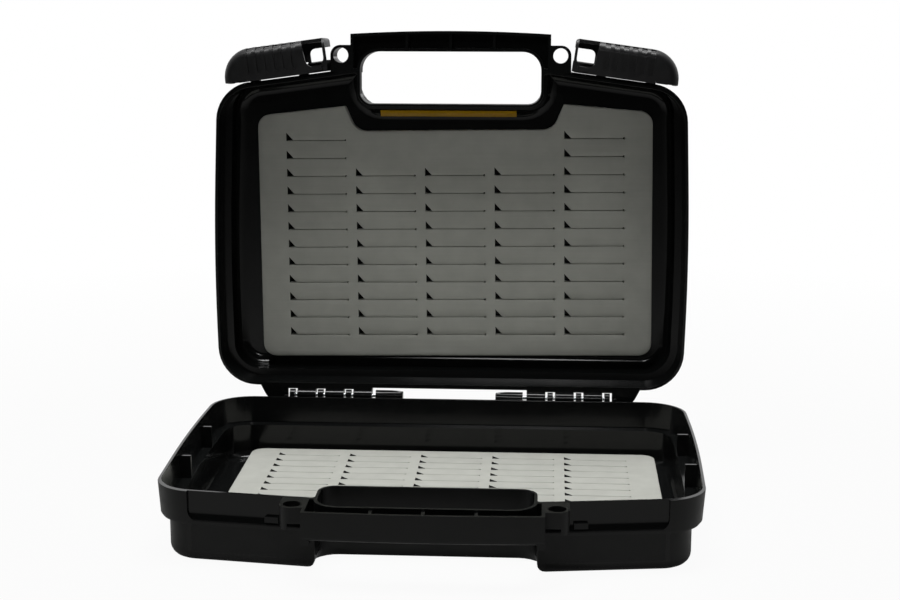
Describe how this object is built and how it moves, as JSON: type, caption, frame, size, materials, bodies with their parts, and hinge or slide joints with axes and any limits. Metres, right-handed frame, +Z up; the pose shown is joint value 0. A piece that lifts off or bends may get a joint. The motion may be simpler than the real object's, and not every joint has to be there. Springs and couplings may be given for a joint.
{
  "type": "fly box",
  "caption": "Shallow hinged plastic case with a carrying handle, snap latches and a sheet of slit foam glued into each half.",
  "frame": {"origin": "middle of the underside of the base, on the surface that it stands on", "axes": "+X to the right along the front, +Y from the handle towards the hinge, +Z up; the lid stands open"},
  "size_m": [0.3634, 0.3355, 0.3276],
  "materials": {
    "case_plastic": "moulded black polypropylene, glossy inside and satin outside",
    "latch_plastic": "moulded black plastic, satin",
    "foam": "closed-cell foam, matte grey",
    "steel": "drawn steel wire",
    "label": "plain yellow printed film"
  },
  "bodies": {
    "base": {"base_shell": "case_plastic", "base_foam": "foam", "left_hinge_pin": "steel", "right_hinge_pin": "steel"},
    "lid": {"lid_shell": "case_plastic", "lid_foam": "foam", "label": "label", "left_latch_pin": "steel", "right_latch_pin": "steel"},
    "left_latch": {"left_latch": "latch_plastic"},
    "right_latch": {"right_latch": "latch_plastic"}
  },
  "joints": [
    {"name": "lid_hinge", "type": "hinge", "parent": "base", "child": "lid", "pos_m": [0, 0.1295, 0.048], "axis": [1, 0, 0], "range_deg": [0, 93.4]},
    {"name": "right_latch_pivot", "type": "hinge", "parent": "lid", "child": "right_latch", "pos_m": [0.13271, 0.1642, 0.2949], "axis": [-0.9907, 0.008, 0.1355], "range_deg": [-2.5, 85]},
    {"name": "left_latch_pivot", "type": "hinge", "parent": "lid", "child": "left_latch", "pos_m": [-0.13271, 0.1642, 0.2949], "axis": [-0.9907, -0.008, -0.1355], "range_deg": [-2.5, 85]}
  ]
}
